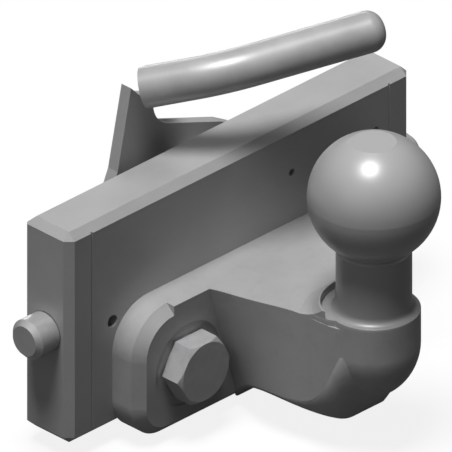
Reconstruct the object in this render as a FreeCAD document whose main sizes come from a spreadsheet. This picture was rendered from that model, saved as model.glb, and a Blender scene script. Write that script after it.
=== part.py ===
import FreeCAD, Part
import math
import os

import Sketcher
from FreeCAD import Placement, Rotation, Vector

# Ball coupling on a slide plate, millimetres, +Z up.
# The origin is the centre of the ball. +X runs along the plate, +Y from the ball to the plate.

os.makedirs("parts", exist_ok=True)
doc = FreeCAD.newDocument("ball_coupling")
sheet = doc.addObject("Spreadsheet::Sheet", "Sizes")


class Size:
    """A size that knows its number and the sheet expression that gives it."""

    def __init__(self, value, text):
        self.value = float(value)
        self.text = text

    def __add__(self, other):
        return Size(self.value + number(other), "(%s + %s)" % (self.text, text(other)))

    def __radd__(self, other):
        return Size(number(other) + self.value, "(%s + %s)" % (text(other), self.text))

    def __sub__(self, other):
        return Size(self.value - number(other), "(%s - %s)" % (self.text, text(other)))

    def __rsub__(self, other):
        return Size(number(other) - self.value, "(%s - %s)" % (text(other), self.text))

    def __mul__(self, other):
        return Size(self.value * number(other), "(%s * %s)" % (self.text, text(other)))

    def __rmul__(self, other):
        return Size(number(other) * self.value, "(%s * %s)" % (text(other), self.text))

    def __truediv__(self, other):
        return Size(self.value / number(other), "(%s / %s)" % (self.text, text(other)))

    def __neg__(self):
        return Size(-self.value, "(0 - %s)" % self.text)


def number(size):
    return size.value if isinstance(size, Size) else float(size)


def text(size):
    return size.text if isinstance(size, Size) else "%.10g" % size


def root(size):
    return Size(math.sqrt(size.value), "sqrt(%s)" % size.text)


rows = 0


def size(name, value, note):
    """One driving dimension: its name, number and meaning go into one row of the sheet."""
    global rows
    rows += 1
    sheet.set("A%d" % rows, name)
    sheet.set("B%d" % rows, "%.10g" % value)
    sheet.set("C%d" % rows, note)
    sheet.setAlias("B%d" % rows, name)
    return Size(value, "Sizes.%s" % name)


# Slide plate
plate_length = size("plate_length", 180, "slide plate, between its guide ends")
plate_thickness = size("plate_thickness", 25, "slide plate, front to back")
plate_height = size("plate_height", 90, "slide plate, bottom to top")
end_chamfer = size("end_chamfer", 3, "chamfer round the guide ends")
front_chamfer = size("front_chamfer", 1.5, "chamfer along the front's top and bottom")
back_chamfer = size("back_chamfer", 5, "chamfer along the back's top and bottom")
strip_width = size("strip_width", 12, "guide strip at each end of the front")
strip_groove = size("strip_groove", 0.8, "width of the line that marks off the guide strip")
strip_depth = size("strip_depth", 0.4, "depth of that line")
grease_inset = size("grease_inset", 22.8, "grease hole, from the end face")
grease_hole = size("grease_hole", 5, "grease hole into the pin bore, diameter")
rivet_hole = size("rivet_hole", 3, "blind rivet hole, diameter")
rivet_hole_depth = size("rivet_hole_depth", 8, "blind rivet hole, depth")
rivet_first = size("rivet_first", 27, "first rivet hole, from the middle")
rivet_pitch = size("rivet_pitch", 44, "between the two rivet holes")
rivet_drop = size("rivet_drop", 19.7, "rivet holes, below the top")

# Ball, neck and collar
ball_diameter = size("ball_diameter", 50, "towing ball")
ball_reach = size("ball_reach", 70, "ball centre in front of the plate")
ball_rise = size("ball_rise", 99.5, "ball centre above the plate's bottom")
ball_flat = size("ball_flat", 17, "flat on top of the ball, diameter")
neck_diameter = size("neck_diameter", 28.5, "neck under the ball")
neck_flare = size("neck_flare", 0.9, "small flare where the neck leaves the ball")
collar_diameter = size("collar_diameter", 35, "turned collar under the neck")
collar_fillet = size("collar_fillet", 2.8, "fillet from neck to collar")
collar_rise = size("collar_rise", 2.6, "collar above the arm's top")
collar_band = size("collar_band", 1.6, "height of the collar's own edge")

# Forged bracket: flange, arm and nose
flange_width = size("flange_width", 134.6, "flange, across")
flange_height = size("flange_height", 53.5, "flange, bottom to top")
flange_thickness = size("flange_thickness", 14, "flange, front to back")
flange_drop = size("flange_drop", 4, "flange below the plate's bottom")
flange_corner = size("flange_corner", 18.5, "upper corner radius of the flange")
flange_foot = size("flange_foot", 15, "lower corner radius of the flange")
flange_edge = size("flange_edge", 4, "chamfer round the flange's front edge")
root_top = size("root_top", 31.5, "half the arm's width in the flange, top")
root_bottom = size("root_bottom", 15, "half the arm's width in the flange, bottom")
heel_reach = size("heel_reach", 52, "arm's heel, from the ball's centre")
heel_top = size("heel_top", 28.8, "half the arm's width at the heel, top")
heel_bottom = size("heel_bottom", 18.5, "half the arm's width at the heel, bottom")
heel_rise = size("heel_rise", 3, "heel's underside above the plate's bottom")
shoulder_reach = size("shoulder_reach", 37, "arm's shoulder, from the ball's centre")
shoulder_top = size("shoulder_top", 24.6, "half the arm's width at the shoulder, top")
shoulder_bottom = size("shoulder_bottom", 22.2, "half the arm's width at the shoulder, bottom")
shoulder_rise = size("shoulder_rise", 9.5, "shoulder's underside above the plate's bottom")
waist_reach = size("waist_reach", 20, "arm's waist, from the ball's centre")
waist_half = size("waist_half", 19.6, "half the arm's width at the waist")
waist_rise = size("waist_rise", 7, "waist's underside above the plate's bottom")
waist_fillet = size("waist_fillet", 5, "rounding along the waist's underside")
belly_reach = size("belly_reach", 6, "arm's belly, from the ball's centre")
belly_half = size("belly_half", 18.9, "half the arm's width at the belly")
belly_rise = size("belly_rise", 5.6, "belly's underside above the plate's bottom")
belly_side = size("belly_side", 19, "height of the belly's rounding")
belly_flat = size("belly_flat", 9, "half the flat under the belly")
belly_round = size("belly_round", 20, "radius of the belly's rounding")
edge_round = size("edge_round", 2, "rounding along the arm's underside near the flange")
nose_radius = size("nose_radius", 17.5, "nose under the ball")
nose_rise = size("nose_rise", 38, "nose's straight side begins above the plate's bottom")
nose_round = size("nose_round", 24.5, "radius of the nose's rounding, seen from the side")
nose_flat = size("nose_flat", 3, "half the flat under the nose")
chin_rise = size("chin_rise", 10.5, "chin's underside above the plate's bottom")
chin_flat = size("chin_flat", 6, "half the flat under the chin")
nose_end = size("nose_end", 8, "arm's last section, past the ball's centre")
nose_end_half = size("nose_end_half", 15.2, "half its width")
nose_end_rise = size("nose_end_rise", 19.2, "its underside above the plate's bottom")
nose_inset = size("nose_inset", 0.1, "arm's last section inside the nose")
blend_reach = size("blend_reach", 27.5, "forged blend round the collar, outer radius on the arm")
blend_rise = size("blend_rise", 5.5, "blend's rim above the arm's top")
blend_round = size("blend_round", 10, "blend's hollow radius")
blend_rim = size("blend_rim", 0.6, "width of the blend's rim")
recess_radius = size("recess_radius", 20, "turned recess round the collar")

# Bracket bolts
bolt_pitch = size("bolt_pitch", 83, "between the two bracket bolts")
bolt_height = size("bolt_height", 22.3, "bracket bolts above the plate's bottom")
bolt_diameter = size("bolt_diameter", 16, "bracket bolt")
bolt_gap = size("bolt_gap", 0.5, "clearance round the bolt in the flange")
thread_gap = size("thread_gap", 0.05, "clearance round the bolt in the plate's tapped hole")
bolt_flats = size("bolt_flats", 24, "bolt head across flats")
head_height = size("head_height", 9.2, "bolt head's hexagon")
head_seat = size("head_seat", 0.8, "washer face under the bolt head")
head_chamfer = size("head_chamfer", 1.1, "height of the chamfer on the head's corners")
spot_diameter = size("spot_diameter", 34, "spot face under the bolt head")
spot_depth = size("spot_depth", 0.6, "depth of the spot face")
bolt_end_gap = size("bolt_end_gap", 1, "bolt's end below the plate's back")
bolt_end_chamfer = size("bolt_end_chamfer", 1.5, "chamfer at the bolt's end")

# Locking pins and their springs
pin_diameter = size("pin_diameter", 16, "locking pin")
pin_reach = size("pin_reach", 11, "locking pin beyond the plate's end")
pin_inner = size("pin_inner", 22, "locking pin's inner end, from the middle")
pin_chamfer = size("pin_chamfer", 2, "chamfer at the pin's outer end")
pin_gap = size("pin_gap", 0.1, "clearance round the locking pin")
groove_width = size("groove_width", 1.5, "wiper groove in the pin at the plate's end")
groove_depth = size("groove_depth", 0.5, "depth of that groove")
groove_proud = size("groove_proud", 0.3, "groove's outer edge beyond the plate's end")
pocket_diameter = size("pocket_diameter", 9.4, "spring pocket in the pin")
pocket_depth = size("pocket_depth", 28, "spring pocket, depth")
spring_diameter = size("spring_diameter", 8.4, "spring, outside")
spring_wire = size("spring_wire", 1.4, "spring wire")
spring_turns = size("spring_turns", 5, "turns of the spring")
spring_steps = size("spring_steps", 10, "straight steps in one turn of the spring")
spring_gap = size("spring_gap", 0.2, "spring ends, off their seats")

# Cam and lever
pivot_diameter = size("pivot_diameter", 14, "pivot shaft")
pivot_gap = size("pivot_gap", 0.08, "clearance round the pivot in the cam and lever")
pivot_wall = size("pivot_wall", 1.5, "plate left in front of the pivot's hole")
pivot_thread = size("pivot_thread", 12, "threaded end of the pivot")
cam_radius = size("cam_radius", 36.4, "cam disc")
cam_thickness = size("cam_thickness", 5, "cam disc")
cam_gap = size("cam_gap", 0.3, "between the cam disc and the plate")
lever_thickness = size("lever_thickness", 5, "lever plate")
follower_radius = size("follower_radius", 29, "cam follower's place, from the pivot")
follower_diameter = size("follower_diameter", 6, "cam follower")
follower_gap = size("follower_gap", 0.15, "clearance round the follower in the cam slot")
follower_short = size("follower_short", 0.3, "follower's end, short of the cam's back")
tight_gap = size("tight_gap", 0.02, "clearance round a piece that is held fast")
cam_travel = size("cam_travel", 11, "how far the cam draws each pin in")
cam_swing = size("cam_swing", 24, "lever's swing in degrees")
slot_spare = size("slot_spare", 1.5, "spare turn at each end of the cam slot in degrees")
plate_slot_gap = size("plate_slot_gap", 0.25, "clearance round the follower in the plate")
hub_radius = size("hub_radius", 28, "lever plate round the pivot")
blade_right = size("blade_right", 31, "lever blade's right corner, from the pivot")
blade_lift = size("blade_lift", 27, "that corner above the pivot")
blade_corner = size("blade_corner", 6, "cut of that corner")
blade_edge = size("blade_edge", 37.4, "right end of the blade's upper edge, above the pivot")
blade_left = size("blade_left", 10.9, "blade's left corner, left of the horn's point")
blade_left_drop = size("blade_left_drop", 41.4, "blade's left corner, below the horn's point")
horn_out = size("horn_out", 4.35, "horn's point, left of the handle's foot")
horn_up = size("horn_up", 0.5, "horn's point, above the handle's foot")
horn_flank_x = size("horn_flank_x", 7.1, "kink in the horn's flank, left of its point")
horn_flank_z = size("horn_flank_z", 33, "that kink, below the point")
horn_step_x = size("horn_step_x", 11.7, "top of the horn's hollow, right of its point")
horn_step_z = size("horn_step_z", 12.9, "top of the hollow, below the point")
horn_valley_x = size("horn_valley_x", 19.1, "bottom of the hollow, right of the point")
horn_valley_z = size("horn_valley_z", 22.7, "bottom of the hollow, below the point")
horn_hollow = size("horn_hollow", 12, "radius of the hollow")
tab_right = size("tab_right", 18.25, "tab behind the handle, right of the foot")
tab_low = size("tab_low", 12, "tab's right side begins below the foot")
tab_side = size("tab_side", 10, "length of the tab's right side")
tab_left = size("tab_left", 6.25, "tab's left side, right of the foot")
tab_top = size("tab_top", 1.5, "tab's top, above the foot")
tab_base = size("tab_base", 7, "bottom of the tab's left side, below the foot")
tab_notch = size("tab_notch", 4.2, "end of the horn's upper edge, below the foot")
stay_rivet = size("stay_rivet", 6, "rivet through cam disc and lever plate")
stay_radius = size("stay_radius", 21, "those rivets, from the pivot")
stay_head = size("stay_head", 2.4, "height of the rivet's head")
stay_head_width = size("stay_head_width", 10, "rivet's head, across")
washer_diameter = size("washer_diameter", 26, "washer on the pivot")
washer_thickness = size("washer_thickness", 2.5, "washer on the pivot")
washer_gap = size("washer_gap", 0.2, "washer clear of the lever plate")
nut_flats = size("nut_flats", 19, "pivot nut across flats")
nut_height = size("nut_height", 10, "pivot nut")
nut_spare = size("nut_spare", 2, "pivot thread past the nut")

# Handle
handle_diameter = size("handle_diameter", 16, "round bar of the handle")
handle_first = size("handle_first", 31.65, "handle, from its foot to the bend's corner")
handle_second = size("handle_second", 63.4, "handle, from the bend's corner to its tip")
handle_bend = size("handle_bend", 43, "handle's bend radius")
handle_angle = size("handle_angle", 30.6, "handle's bend in degrees")
handle_tip = size("handle_tip", 6, "rounding of the handle's tip")
foot_side = size("foot_side", 22.75, "handle's foot, left of the pivot")
foot_lift = size("foot_lift", 70.5, "handle's foot, above the pivot")
foot_set = size("foot_set", 3.07, "handle's foot, behind the plate's back")

# Places that follow from the sizes
front = ball_reach
back = ball_reach + plate_thickness
bottom = -ball_rise
top = plate_height - ball_rise
pin_y = ball_reach + plate_thickness / 2
pin_z = plate_height / 2 - ball_rise
end_x = plate_length / 2
cam_front = back + cam_gap
lever_front = cam_front + cam_thickness
lever_back = lever_front + lever_thickness
flange_front = front - flange_thickness
flange_bottom = bottom - flange_drop
arm_top = flange_bottom + flange_height
bolt_x = bolt_pitch / 2
bolt_z = bottom + bolt_height


def bind(thing, prop, wanted):
    """Tie one property of an object to a size."""
    if isinstance(wanted, Size):
        thing.setExpression(prop, wanted.text)


def place(thing, x, y, z, rotation=None):
    """Put an object where three sizes say, turned by a fixed rotation."""
    thing.Placement = Placement(Vector(number(x), number(y), number(z)), rotation or Rotation())
    for axis, wanted in (("x", x), ("y", y), ("z", z)):
        bind(thing, "Placement.Base." + axis, wanted)


def new_body(label):
    body = doc.addObject("PartDesign::Body", label)
    body.Label = label
    return body


def new_sketch(body, name, role, offset=None):
    """A sketch on one of its body's own origin planes, or at an offset along that plane's normal."""
    sketch = body.newObject("Sketcher::SketchObject", name)
    plane = [item for item in body.Origin.OriginFeatures if item.Role == role][0]
    sketch.AttachmentSupport = [(plane, "")]
    sketch.MapMode = "FlatFace"
    if offset is not None:
        sketch.AttachmentOffset = Placement(Vector(0, 0, number(offset)), Rotation())
        bind(sketch, "AttachmentOffset.Base.z", offset)
    return sketch


def hold(sketch, geometry, end, x, y):
    """Constrain one point of a sketch to two sizes."""
    for kind, axis, wanted in (("DistanceX", -2, x), ("DistanceY", -1, y)):
        if not isinstance(wanted, Size) and wanted == 0:
            sketch.addConstraint(Sketcher.Constraint("PointOnObject", geometry, end, axis))
            continue
        rule = Sketcher.Constraint(kind, -1, 1, geometry, end, number(wanted))
        index = sketch.addConstraint(rule)
        bind(sketch, "Constraints[%d]" % index, wanted)


def outline(sketch, points):
    """A closed outline. A third entry is the radius of the arc that leads on from that point:
    positive turns counter-clockwise, negative clockwise, and the arc is the short way round."""
    first = None
    previous = None
    for index, point in enumerate(points):
        following = points[(index + 1) % len(points)]
        x0, y0 = number(point[0]), number(point[1])
        x1, y1 = number(following[0]), number(following[1])
        start, finish = 1, 2
        if len(point) == 3:
            bend = number(point[2])
            radius = abs(bend)
            half = math.hypot(x1 - x0, y1 - y0) / 2
            lift = math.sqrt(max(radius ** 2 - half ** 2, 0)) * (1 if bend > 0 else -1)
            centre_x = (x0 + x1) / 2 - lift * (y1 - y0) / (2 * half)
            centre_y = (y0 + y1) / 2 + lift * (x1 - x0) / (2 * half)
            angles = [math.atan2(y - centre_y, x - centre_x) for x, y in ((x0, y0), (x1, y1))]
            if bend < 0:
                angles.reverse()
                start, finish = 2, 1
            circle = Part.Circle(Vector(centre_x, centre_y, 0), Vector(0, 0, 1), radius)
            geometry = sketch.addGeometry(Part.ArcOfCircle(circle, angles[0], angles[1]), False)
            index_rule = sketch.addConstraint(Sketcher.Constraint("Radius", geometry, radius))
            if isinstance(point[2], Size):
                bind(sketch, "Constraints[%d]" % index_rule, point[2] if bend > 0 else -point[2])
        else:
            line = Part.LineSegment(Vector(x0, y0, 0), Vector(x1, y1, 0))
            geometry = sketch.addGeometry(line, False)
        hold(sketch, geometry, start, point[0], point[1])
        if previous is not None:
            rule = Sketcher.Constraint("Coincident", previous[0], previous[1], geometry, start)
            sketch.addConstraint(rule)
        else:
            first = (geometry, start)
        previous = (geometry, finish)
    rule = Sketcher.Constraint("Coincident", previous[0], previous[1], first[0], first[1])
    sketch.addConstraint(rule)


def ring(sketch, x, y, radius):
    """A circle in a sketch, held by its centre and radius."""
    circle = Part.Circle(Vector(number(x), number(y), 0), Vector(0, 0, 1), number(radius))
    geometry = sketch.addGeometry(circle, False)
    hold(sketch, geometry, 3, x, y)
    index = sketch.addConstraint(Sketcher.Constraint("Radius", geometry, number(radius)))
    bind(sketch, "Constraints[%d]" % index, radius)


def pad(body, name, sketch, length, middle=False, backward=False):
    feature = body.newObject("PartDesign::Pad", name)
    feature.Profile = sketch
    feature.Length = number(length)
    bind(feature, "Length", length)
    feature.Midplane = middle
    feature.Reversed = backward
    return feature


def pocket(body, name, sketch, length=None, middle=False, backward=False):
    feature = body.newObject("PartDesign::Pocket", name)
    feature.Profile = sketch
    if length is None:
        feature.Type = "ThroughAll"
    else:
        feature.Length = number(length)
        bind(feature, "Length", length)
    feature.Midplane = middle
    feature.Reversed = backward
    return feature


def turned(body, name, sketch, axis="V_Axis", cut=False):
    """Turn a sketch once round its own upright or level axis, as solid or as groove."""
    kind = "PartDesign::Groove" if cut else "PartDesign::Revolution"
    feature = body.newObject(kind, name)
    feature.Profile = sketch
    feature.ReferenceAxis = (sketch, [axis])
    feature.Angle = 360
    return feature


def dressed(body, name, kind, base, edges, wanted):
    """A fillet or chamfer on the named edges of the feature before it."""
    feature = body.newObject("PartDesign::" + kind, name)
    feature.Base = (base, edges)
    prop = "Radius" if kind == "Fillet" else "Size"
    setattr(feature, prop, number(wanted))
    bind(feature, prop, wanted)
    return feature


def edges_where(shape, test):
    return ["Edge%d" % (i + 1) for i, edge in enumerate(shape.Edges) if test(edge)]


def cylinder(name, radius, length):
    thing = doc.addObject("Part::Cylinder", name)
    thing.Radius = number(radius)
    thing.Height = number(length)
    bind(thing, "Radius", radius)
    bind(thing, "Height", length)
    return thing


def drilled(label, base, tools):
    """A piece with several tools taken out of it."""
    cutter = tools[0]
    if len(tools) > 1:
        cutter = doc.addObject("Part::MultiFuse", label + "_tools")
        cutter.Shapes = tools
    result = doc.addObject("Part::Cut", label)
    result.Base = base
    result.Tool = cutter
    result.Label = label
    return result


# A cylinder primitive points along +Z: these turn it to face along the other axes.
TO_BACK = Rotation(Vector(1, 0, 0), -90)
TO_FRONT = Rotation(Vector(1, 0, 0), 90)
TO_RIGHT = Rotation(Vector(0, 1, 0), 90)
TO_LEFT = Rotation(Vector(0, 1, 0), -90)


def make_slide_plate():
    """Steel slide plate with its pin bore, tapped holes, pivot hole and follower slots."""
    body = new_body("slide_blank")
    section = new_sketch(body, "plate_section", "YZ_Plane")
    outline(section, [(front, bottom), (back, bottom), (back, top), (front, top)])
    blank = pad(body, "plate_blank", section, plate_length, middle=True)
    doc.recompute()
    side = number(end_x)
    at_end = edges_where(blank.Shape, lambda e: all(abs(abs(v.X) - side) < 0.001 for v in e.Vertexes))
    dressed(body, "end_chamfers", "Chamfer", blank, at_end, end_chamfer)
    long_edges = new_sketch(body, "long_edges", "YZ_Plane")
    for y, inward, cut in ((front, 1, front_chamfer), (back, -1, back_chamfer)):
        for z, upward in ((bottom, 1), (top, -1)):
            outline(long_edges, [
                (y + inward * cut, z),
                (y, z + upward * cut),
                (y - inward * cut, z - upward * cut),
            ])
    pocket(body, "long_chamfers", long_edges, plate_length * 2, middle=True)

    bore = cylinder("pin_bore", pin_diameter / 2 + pin_gap, plate_length + 4 * end_chamfer)
    place(bore, -(end_x + 2 * end_chamfer), pin_y, pin_z, TO_RIGHT)
    shaft = cylinder("pivot_hole", pivot_diameter / 2 + tight_gap, plate_thickness - pivot_wall + end_chamfer)
    place(shaft, 0, front + pivot_wall, pin_z, TO_BACK)
    tools = [bore, shaft]
    for side_name, sign in (("left", -1), ("right", 1)):
        tapped = cylinder("tapped_hole_" + side_name, bolt_diameter / 2, plate_thickness + 2 * end_chamfer)
        place(tapped, sign * bolt_x, front - end_chamfer, bolt_z, TO_BACK)
        grease = cylinder("grease_hole_" + side_name, grease_hole / 2, plate_thickness / 2 + end_chamfer)
        place(grease, sign * (end_x - grease_inset), front - end_chamfer, pin_z, TO_BACK)
        groove = doc.addObject("Part::Box", "strip_line_" + side_name)
        for prop, wanted in (("Length", strip_groove), ("Width", strip_depth * 2), ("Height", plate_height * 2)):
            setattr(groove, prop, number(wanted))
            bind(groove, prop, wanted)
        place(groove, sign * (end_x - strip_width) - strip_groove / 2, front - strip_depth, bottom - plate_height / 2)
        slot = doc.addObject("Part::Box", "follower_slot_" + side_name)
        slot_width = follower_diameter + 2 * plate_slot_gap
        for prop, wanted in (("Length", cam_travel + slot_width), ("Width", plate_thickness), ("Height", slot_width)):
            setattr(slot, prop, number(wanted))
            bind(slot, prop, wanted)
        slot_middle = sign * (follower_radius - cam_travel / 2)
        place(slot, slot_middle - (cam_travel + slot_width) / 2, pin_y, pin_z - slot_width / 2)
        tools += [tapped, grease, groove, slot]
    for number_name, x in (("first", rivet_first), ("second", rivet_first + rivet_pitch)):
        hole = cylinder("rivet_hole_" + number_name, rivet_hole / 2, rivet_hole_depth + end_chamfer)
        place(hole, x, front - end_chamfer, top - rivet_drop, TO_BACK)
        tools.append(hole)
    return drilled("slide_plate", body, tools)


def make_ball_bracket():
    """One forging: bolted flange, tapering arm, round nose, collar, neck and ball."""
    body = new_body("bracket_forging")
    half = flange_width / 2

    # Flange, seen from the front, padded towards the ball
    face = new_sketch(body, "flange_outline", "XZ_Plane", -front)
    low = flange_bottom
    high = arm_top
    outline(face, [
        (-half + flange_foot, low),
        (half - flange_foot, low, flange_foot),
        (half, low + flange_foot),
        (half, high - flange_corner, flange_corner),
        (half - flange_corner, high),
        (-half + flange_corner, high, flange_corner),
        (-half, high - flange_corner),
        (-half, low + flange_foot, flange_foot),
    ])
    flange = pad(body, "flange", face, flange_thickness)
    doc.recompute()
    ahead = number(flange_front)
    peak = number(high)

    def front_edge(edge):
        on_face = all(abs(v.Y - ahead) < 0.001 for v in edge.Vertexes)
        level_top = all(abs(v.Z - peak) < 0.001 for v in edge.Vertexes)
        return on_face and not level_top

    rim = edges_where(flange.Shape, front_edge)
    dressed(body, "flange_rim", "Chamfer", flange, rim, flange_edge)
    crown = new_sketch(body, "flange_crown", "XZ_Plane", -front)
    outline(crown, [
        (-half + flange_corner, high - flange_edge * 2),
        (half - flange_corner, high - flange_edge * 2),
        (half - flange_corner, high),
        (-half + flange_corner, high),
    ])
    pad(body, "flange_top", crown, flange_thickness)

    # Arm: sections from the flange to the nose, each rounded along its underside
    nose_side = bottom + nose_rise
    drop = nose_flat + nose_round - nose_radius
    nose_low = nose_side - root(nose_round * nose_round - drop * drop)
    stations = (
        ("root", flange_front + flange_edge / 2, root_top, root_bottom, low, edge_round, None, None),
        ("heel", heel_reach, heel_top, heel_bottom, bottom + heel_rise, edge_round, None, None),
        ("shoulder", shoulder_reach, shoulder_top, shoulder_bottom, bottom + shoulder_rise, edge_round, None, None),
        ("waist", waist_reach, waist_half, waist_half, bottom + waist_rise, waist_fillet, None, None),
        ("belly", belly_reach, belly_half, belly_half, bottom + belly_rise, belly_round, belly_flat,
         bottom + belly_rise + belly_side),
        ("chin", 0, nose_radius - nose_inset, nose_radius - nose_inset, bottom + chin_rise, nose_round,
         chin_flat, nose_side),
        ("nose", -nose_end, nose_end_half, nose_end_half, bottom + nose_end_rise, nose_round,
         nose_flat, nose_side),
    )
    sections = []
    for name, y, above, below, under, bend, flat, side in stations:
        if flat is None:
            flat = below - bend
            side = under + bend
        section = new_sketch(body, name + "_section", "XZ_Plane", -y if isinstance(y, Size) else 0)
        outline(section, [
            (-flat, under),
            (flat, under, bend),
            (below, side),
            (above, high),
            (-above, high),
            (-below, side, bend),
        ])
        sections.append(section)
    arm = body.newObject("PartDesign::AdditiveLoft", "arm")
    arm.Profile = sections[0]
    arm.Sections = sections[1:]
    arm.Ruled = False

    profile = new_sketch(body, "nose_profile", "XZ_Plane", 0)
    outline(profile, [
        (0, nose_low),
        (nose_flat, nose_low, nose_round),
        (nose_radius, nose_side),
        (nose_radius, high),
        (0, high),
    ])
    turned(body, "nose", profile)

    # Collar and neck with the ball, turned about the upright axis
    radius = ball_diameter / 2
    flat = ball_flat / 2
    neck = neck_diameter / 2
    waist = neck - neck_flare
    collar = collar_diameter / 2
    collar_top = arm_top + collar_rise
    turning = new_sketch(body, "ball_profile", "XZ_Plane", 0)
    outline(turning, [
        (0, arm_top - collar_band * 4),
        (collar, arm_top - collar_band * 4),
        (collar, collar_top),
        (neck + collar_fillet, collar_top, -collar_fillet),
        (neck, collar_top + collar_fillet),
        (neck, -root(radius * radius - waist * waist) - neck_flare),
        (waist, -root(radius * radius - waist * waist), radius),
        (radius, 0, radius),
        (flat, root(radius * radius - flat * flat)),
        (0, root(radius * radius - flat * flat)),
    ])
    turned(body, "ball_and_neck", turning)

    # Bolt holes and their spot faces
    holes = new_sketch(body, "bolt_holes", "XZ_Plane", -front)
    spots = new_sketch(body, "spot_faces", "XZ_Plane", -flange_front)
    for sign in (-1, 1):
        ring(holes, sign * bolt_x, bolt_z, bolt_diameter / 2 + bolt_gap)
        ring(spots, sign * bolt_x, bolt_z, spot_diameter / 2)
    pocket(body, "bolt_clearance", holes, flange_thickness, backward=True)
    pocket(body, "spot_face_cut", spots, spot_depth)

    # Forged blend that rises from the arm to a rim round the turned recess
    ring_body = new_body("blend_ring")
    blend = new_sketch(ring_body, "blend_profile", "XZ_Plane", 0)
    outline(blend, [
        (0, arm_top - collar_rise),
        (blend_reach, arm_top - collar_rise),
        (blend_reach, arm_top, -blend_round),
        (recess_radius + blend_rim, arm_top + blend_rise),
        (recess_radius, arm_top + blend_rise),
        (recess_radius, collar_top),
        (0, collar_top),
    ])
    turned(ring_body, "blend_turned", blend)
    plan_body = new_body("blend_plan")
    plan = new_sketch(plan_body, "blend_outline", "XY_Plane", arm_top - blend_rise)
    inner = collar - nose_inset
    outline(plan, [
        (-inner, nose_flat),
        (inner, nose_flat),
        (belly_half - nose_inset, belly_reach),
        (waist_half - nose_inset, waist_reach),
        (shoulder_top - nose_inset, shoulder_reach),
        (-(shoulder_top - nose_inset), shoulder_reach),
        (-(waist_half - nose_inset), waist_reach),
        (-(belly_half - nose_inset), belly_reach),
    ])
    pad(plan_body, "blend_prism", plan, blend_rise * 3)
    common = doc.addObject("Part::MultiCommon", "blend")
    common.Shapes = [ring_body, plan_body]
    bracket = doc.addObject("Part::MultiFuse", "ball_bracket")
    bracket.Shapes = [body, common]
    bracket.Label = "ball_bracket"
    return bracket


def make_bolt(label, sign):
    """Hexagon bolt from the front, screwed into the plate."""
    body = new_body(label)
    flats = bolt_flats / 2
    corner = bolt_flats / math.sqrt(3)
    under = head_seat
    hexagon = new_sketch(body, label + "_hexagon", "XY_Plane", under)
    outline(hexagon, [
        (corner, 0),
        (corner / 2, flats),
        (-corner / 2, flats),
        (-corner, 0),
        (-corner / 2, -flats),
        (corner / 2, -flats),
    ])
    pad(body, label + "_head", hexagon, head_height)
    rim = new_sketch(body, label + "_rim", "XZ_Plane")
    crown = under + head_height
    outline(rim, [
        (flats, crown),
        (corner * 1.2, crown - head_chamfer * 3),
        (corner * 1.2, crown + head_chamfer),
        (flats, crown + head_chamfer),
    ])
    turned(body, label + "_head_chamfer", rim, cut=True)
    shank = new_sketch(body, label + "_shank", "XZ_Plane")
    thick = bolt_diameter / 2 - thread_gap
    length = flange_thickness - spot_depth + plate_thickness - bolt_end_gap
    outline(shank, [
        (0, -length),
        (thick - bolt_end_chamfer, -length),
        (thick, -length + bolt_end_chamfer),
        (thick, 0),
        (flats - 0.5, 0),
        (flats - 0.5, under),
        (0, under),
    ])
    turned(body, label + "_shank_turned", shank)
    place(body, sign * bolt_x, flange_front + spot_depth, bolt_z, TO_FRONT)
    return body


def make_locking_pin(label, sign):
    """Round locking pin, chamfered outside, with a spring pocket and a follower hole inside."""
    body = new_body(label + "_blank")
    profile = new_sketch(body, label + "_profile", "XZ_Plane")
    radius = pin_diameter / 2
    length = end_x + pin_reach - pin_inner
    groove = end_x + groove_proud - pin_inner
    outline(profile, [
        (0, pocket_depth),
        (pocket_diameter / 2, pocket_depth),
        (pocket_diameter / 2, 0),
        (radius - pin_chamfer / 2, 0),
        (radius, pin_chamfer / 2),
        (radius, groove - groove_width),
        (radius - groove_depth, groove - groove_width),
        (radius - groove_depth, groove),
        (radius, groove),
        (radius, length - pin_chamfer),
        (radius - pin_chamfer, length),
        (0, length),
    ])
    turned(body, label + "_turned", profile)
    turn = TO_RIGHT if sign > 0 else TO_LEFT
    place(body, sign * pin_inner, pin_y, pin_z, turn)
    hole = cylinder(label + "_follower_hole", follower_diameter / 2 + tight_gap, pin_diameter)
    place(hole, sign * follower_radius, pin_y, pin_z, TO_BACK)
    return drilled(label, body, [hole])


def make_follower(label, sign):
    """Stud from the locking pin's wall into the cam slot."""
    seat = pocket_diameter / 2
    reach = plate_thickness / 2 + cam_gap + cam_thickness - follower_short
    stud = cylinder(label, follower_diameter / 2, reach - seat)
    place(stud, sign * follower_radius, pin_y + seat, pin_z, TO_BACK)
    stud.Label = label
    return stud


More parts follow.
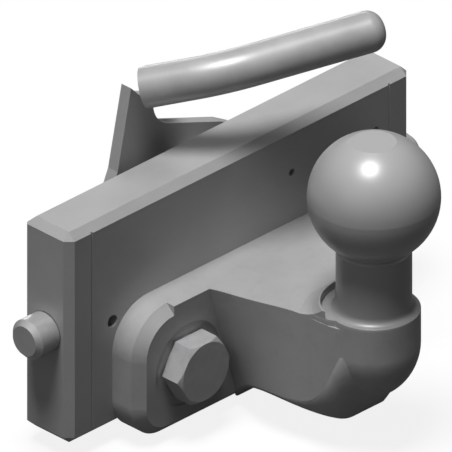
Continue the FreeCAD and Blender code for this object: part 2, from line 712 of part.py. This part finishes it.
def make_spring(label, sign):
    """Compression spring between the pivot shaft and the bottom of the pin's pocket."""
    wire = number(spring_wire) / 2
    mean = number(spring_diameter) / 2 - wire
    start = number(pivot_diameter) / 2 + number(spring_gap) + wire
    finish = number(pin_inner) + number(pocket_depth) - number(spring_gap) - wire
    steps = int(round(number(spring_turns) * number(spring_steps)))
    slope = math.atan2((finish - start) / number(spring_turns), 2 * math.pi * mean)
    rings = []
    for step in range(steps + 1):
        turn = 2 * math.pi * step / number(spring_steps)
        out = Vector(math.cos(turn), math.sin(turn), 0)
        along = Vector(-math.sin(turn) * math.cos(slope), math.cos(turn) * math.cos(slope), math.sin(slope))
        middle = out * mean + Vector(0, 0, (finish - start) * step / steps)
        across = along.cross(out)
        corners = [math.radians(60 * corner) for corner in range(6)]
        rings.append([middle + out * (wire * math.cos(c)) + across * (wire * math.sin(c)) for c in corners])
    faces = [Part.Face(Part.makePolygon(end + [end[0]])) for end in (rings[0], rings[-1])]
    for here, there in zip(rings, rings[1:]):
        for corner in range(6):
            other = (corner + 1) % 6
            for three in ((here[corner], here[other], there[other]), (here[corner], there[other], there[corner])):
                faces.append(Part.Face(Part.makePolygon(list(three) + [three[0]])))
    spring = doc.addObject("Part::Feature", label)
    solid = Part.Solid(Part.Shell(faces))
    if solid.Volume < 0:
        solid.reverse()
    spring.Shape = solid
    spring.Label = label
    turn = TO_RIGHT if sign > 0 else TO_LEFT
    spring.Placement = Placement(Vector(sign * start, number(pin_y), number(pin_z)), turn)
    return spring


def make_pivot_shaft():
    """Shaft pressed into the plate from behind, with a threaded end for the nut."""
    body = new_body("pivot_shaft")
    profile = new_sketch(body, "pivot_profile", "XZ_Plane")
    radius = pivot_diameter / 2
    thread = pivot_thread / 2
    shoulder = plate_thickness - pivot_wall + cam_gap + cam_thickness + lever_thickness + washer_gap
    length = shoulder + washer_thickness + nut_height + nut_spare
    outline(profile, [
        (0, 0),
        (radius, 0),
        (radius, shoulder),
        (thread, shoulder),
        (thread, length - 1),
        (thread - 1, length),
        (0, length),
    ])
    turned(body, "pivot_turned", profile)
    place(body, 0, front + pivot_wall, pin_z, TO_BACK)
    return body


def spiral_slot(name, start_turn):
    """Cam slot: the follower's radius falls in step with the lever's turn."""
    swing = math.radians(number(cam_swing))
    spare = math.radians(number(slot_spare))
    rate = number(cam_travel) / swing
    half = number(follower_diameter) / 2 + number(follower_gap)
    steps = 10

    def at(turn, side):
        radius = number(follower_radius) - rate * turn
        angle = start_turn - turn
        x, z = radius * math.cos(angle), radius * math.sin(angle)
        run_x = -rate * math.cos(angle) + radius * math.sin(angle)
        run_z = -rate * math.sin(angle) - radius * math.cos(angle)
        reach = math.hypot(run_x, run_z)
        return Vector(x - side * half * run_z / reach, 0, z + side * half * run_x / reach)

    turns = [-spare + (swing + 2 * spare) * i / steps for i in range(steps + 1)]
    sides = []
    for side in (1, -1):
        curve = Part.BSplineCurve()
        curve.interpolate([at(turn, side) for turn in turns])
        sides.append(curve.toShape())
    caps = []
    for turn, ahead in ((turns[0], -1), (turns[-1], 1)):
        ends = at(turn, 1), at(turn, -1)
        middle = (ends[0] + ends[1]) * 0.5
        across = (ends[0] - ends[1]).normalize()
        outward = Vector(across.z, 0, -across.x) * (ahead * half)
        caps.append(Part.Arc(ends[0], middle + outward, ends[1]).toShape())
    rim = Part.Wire(Part.__sortEdges__([sides[0], caps[0], sides[1], caps[1]]))
    slot = doc.addObject("Part::Feature", name)
    slot.Shape = Part.Face(rim).extrude(Vector(0, number(cam_thickness) + 2, 0))
    slot.Placement = Placement(Vector(0, number(cam_front) - 1, number(pin_z)), Rotation())
    return slot


def make_cam_disc():
    """Disc with two spiral slots that draw both locking pins in together."""
    disc = cylinder("cam_blank", cam_radius, cam_thickness)
    place(disc, 0, cam_front, pin_z, TO_BACK)
    hole = cylinder("cam_hole", pivot_diameter / 2 + pivot_gap, cam_thickness + 2)
    place(hole, 0, cam_front - 1, pin_z, TO_BACK)
    tools = [hole, spiral_slot("slot_right", 0), spiral_slot("slot_left", math.pi)]
    for name, sign in (("upper", 1), ("lower", -1)):
        rivet = cylinder("cam_rivet_hole_" + name, stay_rivet / 2 + tight_gap, cam_thickness + 2)
        place(rivet, 0, cam_front - 1, pin_z + sign * stay_radius, TO_BACK)
        tools.append(rivet)
    return drilled("cam_disc", disc, tools)


def make_lever_plate():
    """Flat lever with a horn and a tab behind the handle's foot."""
    body = new_body("lever_blank")
    foot_x = -foot_side
    foot_z = pin_z + foot_lift
    horn_x = foot_x - horn_out
    horn_z = foot_z + horn_up
    face = new_sketch(body, "lever_outline", "XZ_Plane", -lever_back)
    outline(face, [
        (-hub_radius, pin_z, hub_radius),
        (0, pin_z - hub_radius, hub_radius),
        (hub_radius, pin_z),
        (blade_right, pin_z + blade_lift),
        (blade_right - blade_corner / 2, pin_z + blade_lift + blade_corner),
        (blade_right - blade_corner * 1.75, pin_z + blade_edge),
        (horn_x + horn_valley_x, horn_z - horn_valley_z, -horn_hollow),
        (horn_x + horn_step_x, horn_z - horn_step_z),
        (foot_x + tab_right, foot_z - tab_low),
        (foot_x + tab_right, foot_z - tab_low + tab_side),
        (foot_x + tab_left, foot_z + tab_top),
        (foot_x + tab_left, foot_z - tab_base),
        (foot_x, foot_z - tab_notch),
        (horn_x, horn_z),
        (horn_x - horn_flank_x, horn_z - horn_flank_z),
        (horn_x - blade_left, horn_z - blade_left_drop),
    ])
    pad(body, "lever_blade", face, lever_thickness)
    hole = cylinder("lever_hole", pivot_diameter / 2 + pivot_gap, lever_thickness + 2)
    place(hole, 0, lever_front - 1, pin_z, TO_BACK)
    tools = [hole]
    for name, sign in (("upper", 1), ("lower", -1)):
        rivet = cylinder("lever_rivet_hole_" + name, stay_rivet / 2 + tight_gap, lever_thickness + 2)
        place(rivet, 0, lever_front - 1, pin_z + sign * stay_radius, TO_BACK)
        tools.append(rivet)
    return drilled("lever_plate", body, tools)


def make_handle():
    """Round bar with one bend, rounded at its tip and cut flat where it meets the lever plate."""
    radius = handle_diameter / 2
    half_turn = Size(math.tan(math.radians(number(handle_angle)) / 2), "tan(%s / 2 * 1 deg)" % handle_angle.text)
    sine = Size(math.sin(math.radians(number(handle_angle))), "sin(%s * 1 deg)" % handle_angle.text)
    cosine = Size(math.cos(math.radians(number(handle_angle))), "cos(%s * 1 deg)" % handle_angle.text)
    setback = handle_bend * half_turn
    straight = handle_first - setback
    grip = handle_second - setback

    # In its own frame the bar starts along +X and bends towards +Y
    first = cylinder("bar_foot", radius, straight)
    place(first, 0, 0, 0, TO_RIGHT)
    bend = doc.addObject("Part::Torus", "bar_bend")
    bend.Radius1 = number(handle_bend)
    bend.Radius2 = number(radius)
    bend.Angle3 = number(handle_angle)
    bind(bend, "Radius1", handle_bend)
    bind(bend, "Radius2", radius)
    bind(bend, "Angle3", handle_angle)
    place(bend, straight, handle_bend, 0, Rotation(Vector(0, 0, 1), -90))
    body = new_body("bar_grip")
    profile = new_sketch(body, "grip_profile", "XZ_Plane")
    outline(profile, [
        (0, 0),
        (radius, 0),
        (radius, grip - handle_tip, handle_tip),
        (radius - handle_tip, grip),
        (0, grip),
    ])
    turned(body, "grip_turned", profile)
    onward_turn = Rotation(Vector(0, 0, 1), number(handle_angle)).multiply(TO_RIGHT)
    place(body, straight + handle_bend * sine, handle_bend * (1 - cosine), 0, onward_turn)
    bar = doc.addObject("Part::MultiFuse", "handle_bar")
    bar.Shapes = [first, bend, body]

    # The bar leaves the lever forwards, to the right and a little upwards, then turns more to the right
    leave = Vector(0.5877, -0.7627, 0.2697).normalize()
    onward = Vector(0.9157, -0.3907, 0.0916).normalize()
    normal = leave.cross(onward).normalize()
    sideways = normal.cross(leave)
    turn = Rotation(leave, sideways, normal, "XYZ")
    place(bar, -foot_side, back + foot_set, pin_z + foot_lift, turn)
    trim = doc.addObject("Part::Box", "handle_trim")
    for prop, wanted in (("Length", plate_length), ("Width", plate_thickness), ("Height", plate_length)):
        setattr(trim, prop, number(wanted))
        bind(trim, prop, wanted)
    place(trim, -end_x, lever_front, pin_z)
    return drilled("lever_handle", bar, [trim])


def make_stay_rivet(label, sign):
    """Rivet with a chamfered head that joins the lever plate to the cam disc."""
    body = new_body(label)
    profile = new_sketch(body, label + "_profile", "XZ_Plane")
    radius = stay_rivet / 2
    grip = cam_thickness + lever_thickness
    head = stay_head_width / 2
    outline(profile, [
        (0, 0),
        (radius, 0),
        (radius, grip),
        (head, grip),
        (head, grip + stay_head / 2),
        (head - stay_head / 2, grip + stay_head),
        (0, grip + stay_head),
    ])
    turned(body, label + "_turned", profile)
    place(body, 0, cam_front, pin_z + sign * stay_radius, TO_BACK)
    return body


def make_washer():
    body = new_body("pivot_washer")
    face = new_sketch(body, "washer_face", "XY_Plane")
    ring(face, 0, 0, washer_diameter / 2)
    ring(face, 0, 0, pivot_thread / 2 + pivot_gap)
    pad(body, "washer_disc", face, washer_thickness)
    place(body, 0, lever_back + washer_gap, pin_z, TO_BACK)
    return body


def make_nut():
    body = new_body("pivot_nut")
    flats = nut_flats / 2
    corner = nut_flats / math.sqrt(3)
    face = new_sketch(body, "nut_face", "XY_Plane")
    outline(face, [
        (corner, 0),
        (corner / 2, flats),
        (-corner / 2, flats),
        (-corner, 0),
        (-corner / 2, -flats),
        (corner / 2, -flats),
    ])
    ring(face, 0, 0, pivot_thread / 2 + thread_gap)
    pad(body, "nut_block", face, nut_height)
    place(body, 0, lever_back + washer_gap + washer_thickness, pin_z, TO_BACK)
    return body


nodes = [make_slide_plate(), make_ball_bracket(), make_pivot_shaft()]
nodes += [make_cam_disc(), make_lever_plate(), make_handle(), make_washer(), make_nut()]
for side_name, sign in (("left", -1), ("right", 1)):
    nodes.append(make_bolt("bracket_bolt_" + side_name, sign))
    nodes.append(make_locking_pin("locking_pin_" + side_name, sign))
    nodes.append(make_follower("cam_follower_" + side_name, sign))
    nodes.append(make_spring("pin_spring_" + side_name, sign))
nodes.append(make_stay_rivet("lever_rivet_upper", 1))
nodes.append(make_stay_rivet("lever_rivet_lower", -1))

doc.recompute()
for item in doc.Objects:
    if "Invalid" in item.State or "Error" in item.State:
        raise SystemExit("failed to build: %s %s" % (item.Label, item.State))
for node in nodes:
    if node.Shape.isNull() or not node.Shape.isValid() or not node.Shape.Solids:
        raise SystemExit("bad shape: %s" % node.Label)
for node in nodes:
    node.Shape.exportStep("parts/%s.step" % node.Label)
    box = node.Shape.BoundBox
    print("%-20s %9.1f mm3  solids %d  X %.1f..%.1f Y %.1f..%.1f Z %.1f..%.1f" % (
        node.Label, node.Shape.Volume, len(node.Shape.Solids),
        box.XMin, box.XMax, box.YMin, box.YMax, box.ZMin, box.ZMax))
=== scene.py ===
import math

import bmesh
import bpy
from mathutils import Matrix, Vector


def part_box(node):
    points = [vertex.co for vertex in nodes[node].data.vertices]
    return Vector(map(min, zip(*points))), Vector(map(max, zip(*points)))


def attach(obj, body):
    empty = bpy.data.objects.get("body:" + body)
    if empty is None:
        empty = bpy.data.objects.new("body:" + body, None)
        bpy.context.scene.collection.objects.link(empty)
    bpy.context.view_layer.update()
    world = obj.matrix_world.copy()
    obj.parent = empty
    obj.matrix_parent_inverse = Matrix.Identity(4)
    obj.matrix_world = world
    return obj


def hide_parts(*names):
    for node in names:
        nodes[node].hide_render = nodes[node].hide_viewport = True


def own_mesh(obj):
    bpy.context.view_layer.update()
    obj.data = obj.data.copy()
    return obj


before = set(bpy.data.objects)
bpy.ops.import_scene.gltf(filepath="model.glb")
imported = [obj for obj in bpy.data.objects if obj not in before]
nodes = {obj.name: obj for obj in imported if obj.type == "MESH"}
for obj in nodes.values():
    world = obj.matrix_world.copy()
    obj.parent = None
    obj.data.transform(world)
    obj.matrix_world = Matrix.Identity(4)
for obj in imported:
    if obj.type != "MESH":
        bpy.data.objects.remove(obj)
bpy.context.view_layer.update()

# Places in the row frame, in metres: the origin is the ball's centre.
PIVOT_Z = -0.0545
THREAD_START = 0.1082
THREAD_PITCH = 0.00175
TURNED_RADIUS = (0.0262, 0.0268)
TURNED_FLOOR = (-0.0482, -0.0478)
FLOOR = -0.1065
FLOOR_SIZE = 3.0

# How much the floor and the surroundings give to each kind of ray
FLOOR_SEEN = 0.90
FLOOR_GLOW = 0.86
FLOOR_BOUNCE = 0.06
FLOOR_GLOSS = 0.08
AMBIENT = 0.02
TENT_RISE = (-0.05, 0.85)

# Springs in the locking pins
SPRING_WIRE = 0.0014
SPRING_TURNS = 5.0
CLOSED_TURNS = 1.0
CLOSED_PITCH = 1.025
COIL_STEPS = 24
COIL_SIDES = 10

# Weld at the handle's foot: its route in millimetres, listed round the patch of contact
WELD_ROUTE = (
    (-16.6, 99.9, 10.7), (-15.0, 99.6, 12.6), (-14.0, 99.6, 15.0), (-13.9, 99.9, 17.2),
    (-15.4, 100.9, 18.1), (-16.9, 101.4, 17.6), (-17.4, 101.5, 15.2), (-17.4, 101.3, 12.6),
)
WELD_RADIUS = 0.00185
WELD_RIPPLE = 0.00016
WELD_DRIFT = 0.00008
WELD_STEPS = 12
WELD_SIDES = 14

CAMERA_TARGET = Vector((-0.04267, 0.03495, -0.00945))
CAMERA_WIDTH = 0.1677
CAMERA_DOWN = math.radians(30)
CAMERA_DISTANCE = 1.0

# Each light: where it comes from, its strength, and its width in degrees
LIGHTS = {
    "key": ((-0.22, -0.06, 0.972), 3.5, 22),
    "fill": ((-0.93, -0.22, 0.28), 0.23, 60),
    "back": ((0.50, 0.86, 0.04), 0.70, 24),
}


class Nodes:
    """Short ways to add and join the nodes of one tree."""

    def __init__(self, tree):
        self.tree = tree

    def add(self, kind, **inputs):
        node = self.tree.nodes.new(kind)
        for key, value in inputs.items():
            node.inputs[key.replace("_", " ")].default_value = value
        return node

    def link(self, start, end):
        self.tree.links.new(start, end)

    def ramp(self, value, low, high, out_low, out_high, smooth=False):
        """Goes from out_low to out_high as the value goes from low to high."""
        node = self.add("ShaderNodeMapRange", From_Min=low, From_Max=high, To_Min=out_low, To_Max=out_high)
        if smooth:
            node.interpolation_type = "SMOOTHSTEP"
        self.link(value, node.inputs["Value"])
        return node.outputs["Result"]

    def math(self, operation, first, second=0.0):
        node = self.add("ShaderNodeMath")
        node.operation = operation
        for index, value in enumerate((first, second)):
            if isinstance(value, (int, float)):
                node.inputs[index].default_value = value
            else:
                self.link(value, node.inputs[index])
        return node.outputs["Value"]

    def split(self, vector):
        node = self.add("ShaderNodeSeparateXYZ")
        self.link(vector, node.inputs["Vector"])
        return tuple(node.outputs[axis] for axis in "XYZ")

    def any_ray(self, *names):
        """One where any of the named rays of Light Path looks."""
        seen = self.add("ShaderNodeLightPath")
        total = seen.outputs[names[0]]
        for name in names[1:]:
            total = self.math("MAXIMUM", total, seen.outputs[name])
        return total


class Shader(Nodes):
    """Builds one node material on a Principled shader."""

    def __init__(self, name, metallic, specular=0.3):
        self.material = bpy.data.materials.new(name)
        self.material.use_nodes = True
        super().__init__(self.material.node_tree)
        self.shader = self.tree.nodes["Principled BSDF"]
        self.shader.inputs["Metallic"].default_value = metallic
        self.shader.inputs["Specular IOR Level"].default_value = specular
        self.where = self.add("ShaderNodeTexCoord").outputs["Object"]
        self.normal = None

    def noise(self, scale, detail=4.0, stretch=(1, 1, 1)):
        mapping = self.add("ShaderNodeMapping", Scale=stretch)
        self.link(self.where, mapping.inputs["Vector"])
        node = self.add("ShaderNodeTexNoise", Scale=scale, Detail=detail, Roughness=0.6)
        self.link(mapping.outputs["Vector"], node.inputs["Vector"])
        return node.outputs["Fac"]

    def rings(self, scale, distortion, axis):
        """Fine turning marks across one axis."""
        node = self.add("ShaderNodeTexWave", Scale=scale, Distortion=distortion, Detail=2.0)
        node.bands_direction = axis
        self.link(self.where, node.inputs["Vector"])
        return node.outputs["Fac"]

    def mix(self, factor, first, second):
        node = self.add("ShaderNodeMix")
        node.data_type = "RGBA"
        self.link(factor, node.inputs["Factor"])
        for slot, value in ((6, first), (7, second)):
            if isinstance(value, tuple):
                node.inputs[slot].default_value = value
            else:
                self.link(value, node.inputs[slot])
        return node.outputs[2]

    def shade(self, value, low, high, dark, light):
        """Goes from the dark colour to the light one as the value goes from low to high."""
        return self.mix(self.ramp(value, low, high, 0.0, 1.0), dark, light)

    def bump(self, height, strength, distance):
        node = self.add("ShaderNodeBump", Strength=strength, Distance=distance)
        self.link(height, node.inputs["Height"])
        if self.normal is not None:
            self.link(self.normal, node.inputs["Normal"])
        self.normal = node.outputs["Normal"]

    def done(self, colour, roughness):
        self.link(colour, self.shader.inputs["Base Color"])
        self.link(roughness, self.shader.inputs["Roughness"])
        if self.normal is not None:
            self.link(self.normal, self.shader.inputs["Normal"])
        return self.material


def grey(level, tint=0.0):
    return (level, level, level + tint, 1.0)


def ground_steel(name, level, along, rough=0.40):
    """Milled or ground steel: fine straight lines along one axis, soft stains, small nicks."""
    s = Shader(name, 0.15)
    lines = s.noise(2600.0, 3.0, tuple(0.035 if axis == along else 1.0 for axis in "xyz"))
    stains = s.noise(34.0, 5.0)
    specks = s.noise(900.0, 2.0)
    base = s.shade(stains, 0.35, 0.68, grey(level * 0.93, 0.003), grey(level * 1.06, 0.004))
    worn = s.ramp(lines, 0.3, 0.7, 0.0, 1.0)
    colour = s.mix(s.math("MULTIPLY", worn, 0.35), base, grey(level * 1.16, 0.004))
    along_lines = s.ramp(lines, 0.25, 0.75, rough - 0.06, rough + 0.07)
    roughness = s.math("ADD", along_lines, s.ramp(stains, 0.3, 0.7, -0.03, 0.04))
    s.bump(lines, 0.10, 0.00008)
    s.bump(s.ramp(specks, 0.62, 0.78, 0.0, -1.0), 0.12, 0.00008)
    return s.done(colour, roughness)


def forged_steel(name, level):
    """Shot-blasted forging on the arm and flange, turned bright on the neck and ball."""
    s = Shader(name, 0.15)
    grain = s.noise(1500.0, 6.0)
    skin = s.noise(160.0, 5.0)
    broad = s.noise(26.0, 4.0)
    base = s.shade(broad, 0.35, 0.65, grey(level * 0.94, 0.002), grey(level * 1.05, 0.003))
    blasted = s.mix(s.ramp(skin, 0.5, 0.72, 0.0, 0.45), base, grey(level * 0.84, 0.001))

    # The lathe's work ends at the collar: inside a radius round the neck and above the arm
    x, y, z = s.split(s.where)
    reach = s.math("SQRT", s.math("ADD", s.math("MULTIPLY", x, x), s.math("MULTIPLY", y, y)))
    turned = s.math("MULTIPLY", s.ramp(reach, *TURNED_RADIUS, 1.0, 0.0), s.ramp(z, *TURNED_FLOOR, 0.0, 1.0))
    raw = s.math("SUBTRACT", 1.0, turned)
    marks = s.rings(900.0, 0.6, "Z")
    bright = s.shade(marks, 0.0, 1.0, grey(level * 1.02, 0.004), grey(level * 1.10, 0.005))
    colour = s.mix(turned, blasted, bright)
    rough_raw = s.ramp(grain, 0.3, 0.7, 0.50, 0.64)
    rough_turned = s.ramp(broad, 0.3, 0.7, 0.30, 0.38)
    change = s.math("MULTIPLY", s.math("SUBTRACT", rough_turned, rough_raw), turned)
    s.bump(s.math("MULTIPLY", grain, raw), 0.30, 0.00018)
    s.bump(s.math("MULTIPLY", skin, raw), 0.22, 0.0005)
    s.bump(s.math("MULTIPLY", marks, turned), 0.05, 0.00004)
    return s.done(colour, s.math("ADD", rough_raw, change))


def turned_steel(name, level, across, rough=0.34, threaded=False):
    """Turned steel: fine rings across the named axis, and on the pivot a screw thread past its shank."""
    s = Shader(name, 0.4)
    marks = s.rings(1100.0, 0.8, across)
    stains = s.noise(60.0, 4.0)
    colour = s.shade(stains, 0.35, 0.65, grey(level * 0.94, 0.003), grey(level * 1.07, 0.004))
    on_marks = s.ramp(marks, 0.0, 1.0, rough - 0.04, rough + 0.04)
    roughness = s.math("ADD", on_marks, s.ramp(stains, 0.3, 0.7, -0.03, 0.03))
    s.bump(marks, 0.06, 0.00005)
    if threaded:
        x, y, z = s.split(s.where)
        past = s.ramp(y, THREAD_START, THREAD_START + 0.0002, 0.0, 1.0)
        turn = s.math("ARCTAN2", s.math("SUBTRACT", z, PIVOT_Z), x)
        climb = s.math("ADD", s.math("MULTIPLY", y, math.tau / THREAD_PITCH), turn)
        ridge = s.math("MULTIPLY", s.math("ADD", s.math("SINE", climb), 1.0), 0.5)
        s.bump(s.math("MULTIPLY", ridge, past), 0.9, 0.0006)
    return s.done(colour, roughness)


def plated_steel(name, level):
    """Zinc-plated fasteners: soft sheen with faint clouding."""
    s = Shader(name, 0.3)
    clouds = s.noise(220.0, 4.0)
    colour = s.shade(clouds, 0.35, 0.65, grey(level * 0.95, 0.004), grey(level * 1.06, 0.010))
    s.bump(s.noise(1800.0, 3.0), 0.08, 0.00006)
    return s.done(colour, s.ramp(clouds, 0.3, 0.7, 0.38, 0.50))


def drawn_bar(name, level):
    """Drawn round bar: smooth, with light hand wear."""
    s = Shader(name, 0.2)
    wear = s.noise(70.0, 5.0)
    fine = s.noise(1400.0, 3.0, (0.35, 1.0, 1.0))
    colour = s.shade(wear, 0.4, 0.66, grey(level * 0.95, 0.003), grey(level * 1.07, 0.004))
    roughness = s.math("ADD", s.ramp(wear, 0.3, 0.7, 0.34, 0.44), s.ramp(fine, 0.3, 0.7, -0.03, 0.03))
    s.bump(fine, 0.07, 0.00006)
    return s.done(colour, roughness)


PLATE = ground_steel("slide_plate_steel", 0.38, "x")
SHEET = ground_steel("lever_sheet_steel", 0.38, "z", 0.44)
FORGED = forged_steel("forged_bracket_steel", 0.38)
PIN = turned_steel("locking_pin_steel", 0.42, "X")
STUD = turned_steel("pivot_steel", 0.44, "Y", threaded=True)
SPRING = turned_steel("spring_wire_steel", 0.40, "X", 0.36)
BOLT = plated_steel("plated_fastener_steel", 0.45)
BAR = drawn_bar("handle_bar_steel", 0.39)
WELD = plated_steel("weld_bead_steel", 0.36)

FINISH = {
    "slide_plate": PLATE,
    "ball_bracket": FORGED,
    "cam_disc": SHEET,
    "lever_plate": SHEET,
    "lever_handle": BAR,
    "pivot_shaft": STUD,
    "pivot_washer": BOLT,
    "pivot_nut": BOLT,
    "bracket_bolt_left": BOLT,
    "bracket_bolt_right": BOLT,
    "locking_pin_left": PIN,
    "locking_pin_right": PIN,
    "cam_follower_left": STUD,
    "cam_follower_right": STUD,
    "pin_spring_left": SPRING,
    "pin_spring_right": SPRING,
    "lever_rivet_upper": BOLT,
    "lever_rivet_lower": BOLT,
}
for name, thing in nodes.items():
    thing.data.materials.clear()
    thing.data.materials.append(FINISH[name])


def in_scene(name, data):
    """A new object of the scene."""
    thing = bpy.data.objects.new(name, data)
    bpy.context.scene.collection.objects.link(thing)
    return thing


def ring(centre, radius, first, second, sides):
    """Points of a circle in the plane of two directions."""
    return [centre + radius * (math.cos(a) * first + math.sin(a) * second)
            for a in (k * math.tau / sides for k in range(sides))]


def tube(name, rings, closed, material):
    """Smooth skin over a row of rings, which closes on itself or ends in two flat faces."""
    mesh = bpy.data.meshes.new(name)
    build = bmesh.new()
    loops = [[build.verts.new(point) for point in points] for points in rings]
    for here, there in zip(loops, loops[1:] + loops[:1] if closed else loops[1:]):
        for k in range(len(here)):
            after = (k + 1) % len(here)
            build.faces.new((here[k], here[after], there[after], there[k])).smooth = True
    if not closed:
        build.faces.new(loops[0])
        build.faces.new(loops[-1])
    bmesh.ops.recalc_face_normals(build, faces=build.faces)
    build.to_mesh(mesh)
    build.free()
    mesh.materials.append(material)
    return in_scene(name, mesh)


def weld_bead():
    """Rippled bead round the patch where the handle's foot meets the lever plate's tab."""
    route = [Vector(point) / 1000 for point in WELD_ROUTE]
    count = len(route)
    centres = []
    for index in range(count):
        p0, p1, p2, p3 = (route[(index + k - 1) % count] for k in range(4))
        for step in range(WELD_STEPS):
            t = step / WELD_STEPS
            centres.append(0.5 * (2 * p1 + (p2 - p0) * t + (2 * p0 - 5 * p1 + 4 * p2 - p3) * t ** 2
                                  + (3 * p1 - p0 - 3 * p2 + p3) * t ** 3))
    middle = sum(centres, Vector()) / len(centres)
    rings = []
    for index, centre in enumerate(centres):
        ahead = (centres[(index + 1) % len(centres)] - centres[index - 1]).normalized()
        outward = centre - middle
        outward = (outward - ahead * outward.dot(ahead)).normalized()
        ripple = WELD_RIPPLE * abs(math.sin(index * math.pi / 4)) + WELD_DRIFT * math.sin(index * 0.37)
        rings.append(ring(centre, WELD_RADIUS + ripple, outward, ahead.cross(outward), WELD_SIDES))
    bead = tube("handle_weld", rings, True, WELD)
    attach(bead, "lever")


def coil(name, node, side):
    """Round-wire compression spring with closed ends, from the pivot shaft to the pin's pocket."""
    low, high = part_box(node)
    fixed, free = (low.x, high.x) if side > 0 else (high.x, low.x)
    length = abs(free - fixed)
    wire = SPRING_WIRE / 2
    mean = (high.y - low.y) / 2 - wire
    middle_y, middle_z = (low.y + high.y) / 2, (low.z + high.z) / 2
    closed_pitch = CLOSED_PITCH * SPRING_WIRE
    open_length = length - SPRING_WIRE - 2 * CLOSED_TURNS * closed_pitch
    open_pitch = open_length / (SPRING_TURNS - 2 * CLOSED_TURNS)
    centres = []
    reach = wire
    for index in range(int(SPRING_TURNS * COIL_STEPS) + 1):
        turn = index / COIL_STEPS
        centres.append(Vector((fixed + side * reach, middle_y + mean * math.cos(turn * math.tau),
                               middle_z + mean * math.sin(turn * math.tau))))
        is_closed = turn < CLOSED_TURNS or turn >= SPRING_TURNS - CLOSED_TURNS
        reach += (closed_pitch if is_closed else open_pitch) / COIL_STEPS
    rings = []
    for index, centre in enumerate(centres):
        ahead = (centres[min(index + 1, len(centres) - 1)] - centres[max(index - 1, 0)]).normalized()
        outward = Vector((0, centre.y - middle_y, centre.z - middle_z)).normalized()
        rings.append(ring(centre, wire, outward, ahead.cross(outward), COIL_SIDES))
    thing = tube(name, rings, False, SPRING)
    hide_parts(node)
    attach(thing, "plate")
    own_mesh(thing)


def white_floor():
    """A plain white floor that keeps a faint shadow and throws little light back."""
    mesh = bpy.data.meshes.new("floor")
    build = bmesh.new()
    bmesh.ops.create_grid(build, x_segments=1, y_segments=1, size=FLOOR_SIZE)
    build.to_mesh(mesh)
    build.free()
    floor = in_scene("floor", mesh)
    floor.location = (0.0, 0.0, FLOOR)
    material = bpy.data.materials.new("white_floor")
    material.use_nodes = True
    n = Nodes(material.node_tree)
    n.tree.nodes.clear()
    seen = n.any_ray("Is Camera Ray", "Is Transmission Ray")
    matt = n.add("ShaderNodeBsdfDiffuse")
    n.link(n.ramp(seen, 0.0, 1.0, FLOOR_BOUNCE, FLOOR_SEEN), matt.inputs["Color"])
    glow = n.add("ShaderNodeEmission", Color=(1, 1, 1, 1), Strength=1.0)
    gloss = n.ramp(n.any_ray("Is Glossy Ray"), 0.0, 1.0, 0.0, FLOOR_GLOSS)
    share = n.math("MAXIMUM", n.ramp(seen, 0.0, 1.0, 0.0, FLOOR_GLOW), gloss)
    blend = n.add("ShaderNodeMixShader")
    n.link(share, blend.inputs[0])
    n.link(matt.outputs[0], blend.inputs[1])
    n.link(glow.outputs[0], blend.inputs[2])
    n.link(blend.outputs[0], n.add("ShaderNodeOutputMaterial").inputs["Surface"])
    mesh.materials.append(material)


def white_world():
    """An even white backdrop that gives the part little light of its own."""
    world = bpy.data.worlds.new("studio")
    bpy.context.scene.world = world
    world.use_nodes = True
    n = Nodes(world.node_tree)
    n.tree.nodes.clear()
    # Glossy rays see the white overhead, which fades out towards the horizon as in a light tent
    height = n.split(n.add("ShaderNodeTexCoord").outputs["Generated"])[2]
    tent = n.ramp(height, *TENT_RISE, FLOOR_GLOSS, 1.0, smooth=True)
    gloss = n.math("MULTIPLY", n.any_ray("Is Glossy Ray"), tent)
    seen = n.any_ray("Is Camera Ray", "Is Transmission Ray")
    back = n.add("ShaderNodeBackground", Color=(1, 1, 1, 1))
    n.link(n.math("MAXIMUM", n.ramp(seen, 0.0, 1.0, AMBIENT, 1.0), gloss), back.inputs["Strength"])
    n.link(back.outputs[0], n.add("ShaderNodeOutputWorld").inputs["Surface"])


def sun(name, towards, strength, angle):
    """A broad light that comes from the given direction."""
    data = bpy.data.lights.new(name, "SUN")
    data.energy = strength
    data.angle = math.radians(angle)
    in_scene(name, data).rotation_euler = Vector(towards).to_track_quat("Z", "Y").to_euler()


def camera():
    """Parallel view from the front left, 30 degrees down, as wide as the photograph."""
    data = bpy.data.cameras.new("camera")
    data.type = "ORTHO"
    data.ortho_scale = CAMERA_WIDTH
    data.clip_end = 10.0
    thing = in_scene("camera", data)
    level = -math.cos(CAMERA_DOWN) / math.sqrt(2)
    right = Vector((1, -1, 0)).normalized()
    back = Vector((level, level, math.sin(CAMERA_DOWN)))
    place = Matrix((right, back.cross(right).normalized(), back)).transposed().to_4x4()
    place.translation = CAMERA_TARGET + back * CAMERA_DISTANCE
    thing.matrix_world = place
    bpy.context.scene.camera = thing


weld_bead()
coil("coil_left", "pin_spring_left", -1)
coil("coil_right", "pin_spring_right", 1)
white_floor()
white_world()
for name, light in LIGHTS.items():
    sun(name, *light)
camera()
bpy.context.scene.view_settings.view_transform = "Standard"
